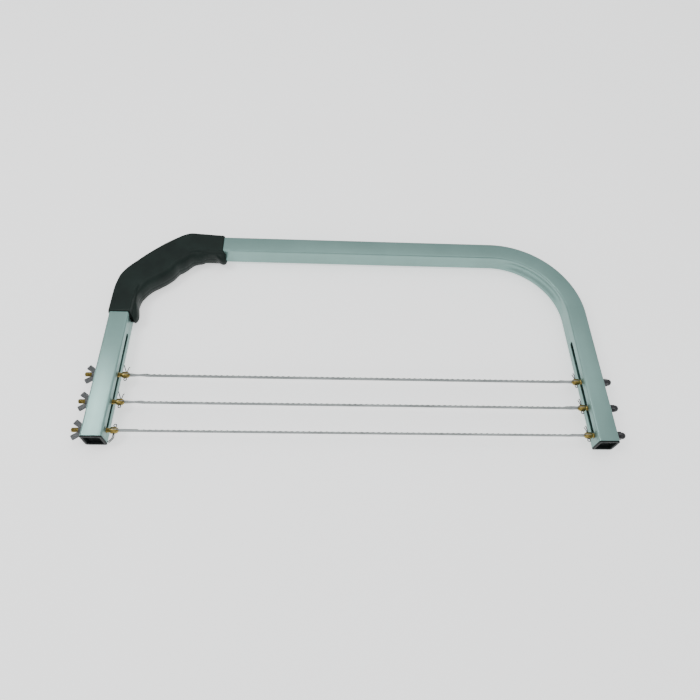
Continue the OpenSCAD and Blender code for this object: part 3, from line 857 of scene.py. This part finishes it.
def washer(node, body, slot, i, side):
    bore_r = thread_d / 2 + 0.15
    rim = washer_d / 2
    e = 0.16
    rolled = 1.6 * e
    profile = [(bore_r, e), (bore_r + e, 0), (rim - e, 0), (rim, e), (rim, washer_t - rolled),
               (rim - rolled, washer_t), (bore_r + e, washer_t), (bore_r, washer_t - e)]
    at = outward(side, frame_w / 2, level_y[i])
    made = mesh_object(node + "_stamped", turned(profile, at, closed=True))
    finish_piece(made, body, slot, [node], 25)


def hexagon(flats, turn):
    """The radius of a hexagon with slightly rounded corners, as a function of the angle."""
    rounded = 0.985

    def reach(t):
        off = (t - turn) % (math.pi / 3) - math.pi / 6
        return min(flats / 2 / math.cos(off), flats / math.sqrt(3) * rounded)
    return reach


def chamfer_rows(flats, low, high):
    """(radius, height) points up a hexagon's side, turned down at both faces."""
    corner = flats / math.sqrt(3)
    face = flats / 2 - 0.15
    drop = 0.5
    up = [(face + (corner - face) * f, low + drop * f) for f in arc_steps(0, 1, 5)]
    down = [(face + (corner - face) * f, high - drop * f) for f in arc_steps(1, 0, 5)]
    return up + down


def lock_nut(node, level, i):
    """A thin hexagon nut. Each one stands at its own angle."""
    lead = 0.3
    turn = math.radians(11 + 17 * i)
    profile = [(nut_bore_r, lead), (nut_bore_r + lead, 0)] + chamfer_rows(nut_flats, 0, lock_nut_h)
    profile += [(nut_bore_r + lead, lock_nut_h), (nut_bore_r, lock_nut_h - lead)]
    at = outward(1, frame_w / 2 + washer_t, level_y[i])
    made = mesh_object(node + "_cut", turned(profile, at, 72, hexagon(nut_flats, turn), True))
    finish_piece(made, f"blade_set_{level}", "dark_steel", [node], 24)


def cap_nut(node, level, i):
    """A hexagon nut with a blind bore under a dome. Each one stands at its own angle."""
    bore_end = 6.8
    hex_h = 4.4
    dome = 3.75
    centre = cap_nut_h - dome
    turn = math.radians(23 * i)
    profile = [(0.02, bore_end), (nut_bore_r, bore_end - 0.1), (nut_bore_r, 0.4), (nut_bore_r + 0.35, 0)]
    profile += chamfer_rows(nut_flats, 0, hex_h)
    profile += [(dome + 0.12, hex_h + 0.02), (dome, hex_h + 0.2), (dome, centre)]
    profile += [(max(0.02, dome * math.cos(a)), centre + dome * math.sin(a))
                for a in arc_steps(0, math.pi / 2, 12)[1:]]
    at = outward(1, frame_w / 2 + washer_t + lock_nut_h, level_y[i])
    made = mesh_object(node + "_domed", turned(profile, at, 72, hexagon(nut_flats, turn)))
    finish_piece(made, f"blade_set_{level}", "dark_steel", [node], 24)


def wing_nut(node, level, i):
    """A forged wing nut: hub and two rounded wings run into each other."""
    seat_x = frame_w / 2 + washer_t
    at = outward(-1, seat_x, level_y[i])
    hub_h = 4.2
    wing_w = 6
    rise = math.radians(55)
    root = 2.2
    root_h = 0.5
    tip_thinning = 0.28
    highest = left_tail - frame_w / 2 - washer_t
    hub = [(0.02, 0), (4.45, 0), (4.6, 0.2), (4.5, 0.9), (3.95, hub_h - 0.3), (3.7, hub_h), (0.02, hub_h)]
    parts = [turned(hub, at, 40)]
    tip_r = wing_w / 2
    corner = 1.1
    reach = wing_reach - tip_r * math.sin(rise)
    length = (reach - root) / math.cos(rise)
    # through the wing's thickness: the distance from its middle, and the scale of its outline there
    layers = [(-1.15, 0.88), (-0.85, 1), (0.85, 1), (1.15, 0.88)]
    for sign in (1, -1):
        outline = [(0, -tip_r * 0.75), (length * 0.5, -tip_r * 0.92)]
        outline += [(length - corner + corner * math.cos(a),
                     math.copysign(tip_r - corner, a) + corner * math.sin(a))
                    for a in arc_steps(-math.pi / 2, -0.02, 6) + arc_steps(0.02, math.pi / 2, 6)]
        outline += [(length * 0.5, tip_r * 0.92), (0, tip_r * 0.6)]
        rings = []
        for z, f in layers:
            ring = []
            for full_u, full_v in outline:
                u = length / 2 + (full_u - length / 2) * f
                v = full_v * f
                thin = 1 - tip_thinning * max(0, u) / length
                radial = root + u * math.cos(rise) - v * math.sin(rise)
                height = min(highest, max(0.05, root_h + u * math.sin(rise) + v * math.cos(rise)))
                ring.append(at((z * thin, sign * radial, height)))
            rings.append(ring)
        parts.append(skin(rings))
    made = mesh_object(node + "_forged", *parts)
    melt = made.modifiers.new("melt", "REMESH")
    melt.mode = "VOXEL"
    melt.voxel_size = 0.22 * MM
    soften = made.modifiers.new("soften", "SMOOTH")
    soften.factor = 0.6
    soften.iterations = 3
    settle(made)
    y = level_y[i]
    bore_r = thread_d / 2 + 0.06
    cut(made, cylinder_between("bore_tool", (1 - seat_x, y, 0), (-seat_x - hub_h - 3, y, 0), bore_r))
    finish_piece(made, f"nut_{level}", "nut_steel", [node], 45)


frame_tube()
end_plug("left_end_plug", -leg_x)
end_plug("right_end_plug", leg_x)
grip_shells()
grip_screws()
for i, level in enumerate(LEVELS):
    blades = f"blade_set_{level}"
    blade(i, level, TWISTS[i])
    stud(f"tension_stud_{level}", i, level, -1, left_nose, left_tail)
    stud(f"anchor_stud_{level}", i, level, 1, right_nose, right_tail)
    left_legs, flip = (LOWER_LEGS, -1) if i == 0 else (UPPER_LEGS, 1)
    split_pin(f"left_pin_{level}", i, level, -(left_nose + pin_in), left_legs, flip)
    split_pin(f"right_pin_{level}", i, level, right_nose + pin_in, RIGHT_LEGS)
    washer(f"wing_washer_{level}", f"washer_{level}", "nut_steel", i, -1)
    washer(f"anchor_washer_{level}", blades, "dark_steel", i, 1)
    wing_nut(f"wing_nut_{level}", level, i)
    lock_nut(f"lock_nut_{level}", level, i)
    cap_nut(f"cap_nut_{level}", level, i)


# ------------------------------------------------------------------ floor, light and camera
def floor():
    """A pale plane just under the slicer, which glows a little, so that it stays light."""
    floor_size = 8
    floor_drop = 0.0004
    bpy.ops.mesh.primitive_plane_add(size=floor_size, location=(0, 0, -floor_drop))
    made = bpy.context.object
    made.name = "floor"
    paint = Paint("pale_floor", (0.86, 0.86, 0.86), 0.0, 0.7, Emission_Strength=0.9)
    paint.shader.inputs["Emission Color"].default_value = (1, 1, 1, 1)
    paint.colour(paint.ramp(paint.noise(3, 2), (0.3, (0.85, 0.85, 0.85)), (0.7, (0.88, 0.88, 0.88))))
    made.data.materials.append(paint.material)


def area_light(name, place_at, target, size, power):
    data = bpy.data.lights.new(name, "AREA")
    data.shape = "RECTANGLE"
    data.size, data.size_y = size
    data.energy = power
    made = bpy.data.objects.new(name, data)
    made.location = place_at
    made.rotation_euler = (Vector(target) - Vector(place_at)).to_track_quat("-Z", "Y").to_euler()
    bpy.context.scene.collection.objects.link(made)


def studio():
    """A soft sky that is darker near the horizon, and three area lights."""
    world = bpy.data.worlds.new("studio")
    world.use_nodes = True
    tree = world.node_tree
    sky = tree.nodes["Background"]
    height = tree.nodes.new("ShaderNodeSeparateXYZ")
    tree.links.new(tree.nodes.new("ShaderNodeTexCoord").outputs["Generated"], height.inputs[0])
    fade = tree.nodes.new("ShaderNodeValToRGB")
    low, high = fade.color_ramp.elements
    low.position, low.color = 0.05, (0.40, 0.41, 0.41, 1)
    high.position, high.color = 0.7, (0.93, 0.95, 0.96, 1)
    tree.links.new(height.outputs["Z"], fade.inputs["Fac"])
    tree.links.new(fade.outputs["Color"], sky.inputs["Color"])
    sky.inputs["Strength"].default_value = 0.92
    bpy.context.scene.world = world
    area_light("key", (-0.78, -0.03, 1.2), (-0.26, -0.1, 0), (0.42, 0.42), 5.5)
    area_light("top", (0.3, 0.5, 1.7), (0, 0, 0), (1.6, 1.0), 6)
    area_light("front", (-0.45, -1.4, 0.85), (0, 0, 0), (1.2, 0.6), 3.5)


def camera():
    data = bpy.data.cameras.new("camera")
    data.sensor_width = 36
    data.lens = 29.94
    data.clip_start = 0.01
    made = bpy.data.objects.new("camera", data)
    eye = place(-39.05, -226.64, 562.71)
    right = Vector((0.99844, -0.01128, 0.05460))
    up = Vector((-0.01837, 0.85808, 0.51319))
    back = right.cross(up)
    turn = Matrix((right, up, back)).transposed().to_4x4()
    made.matrix_world = Matrix.Translation(eye) @ turn
    bpy.context.scene.collection.objects.link(made)
    bpy.context.scene.camera = made


floor()
studio()
camera()
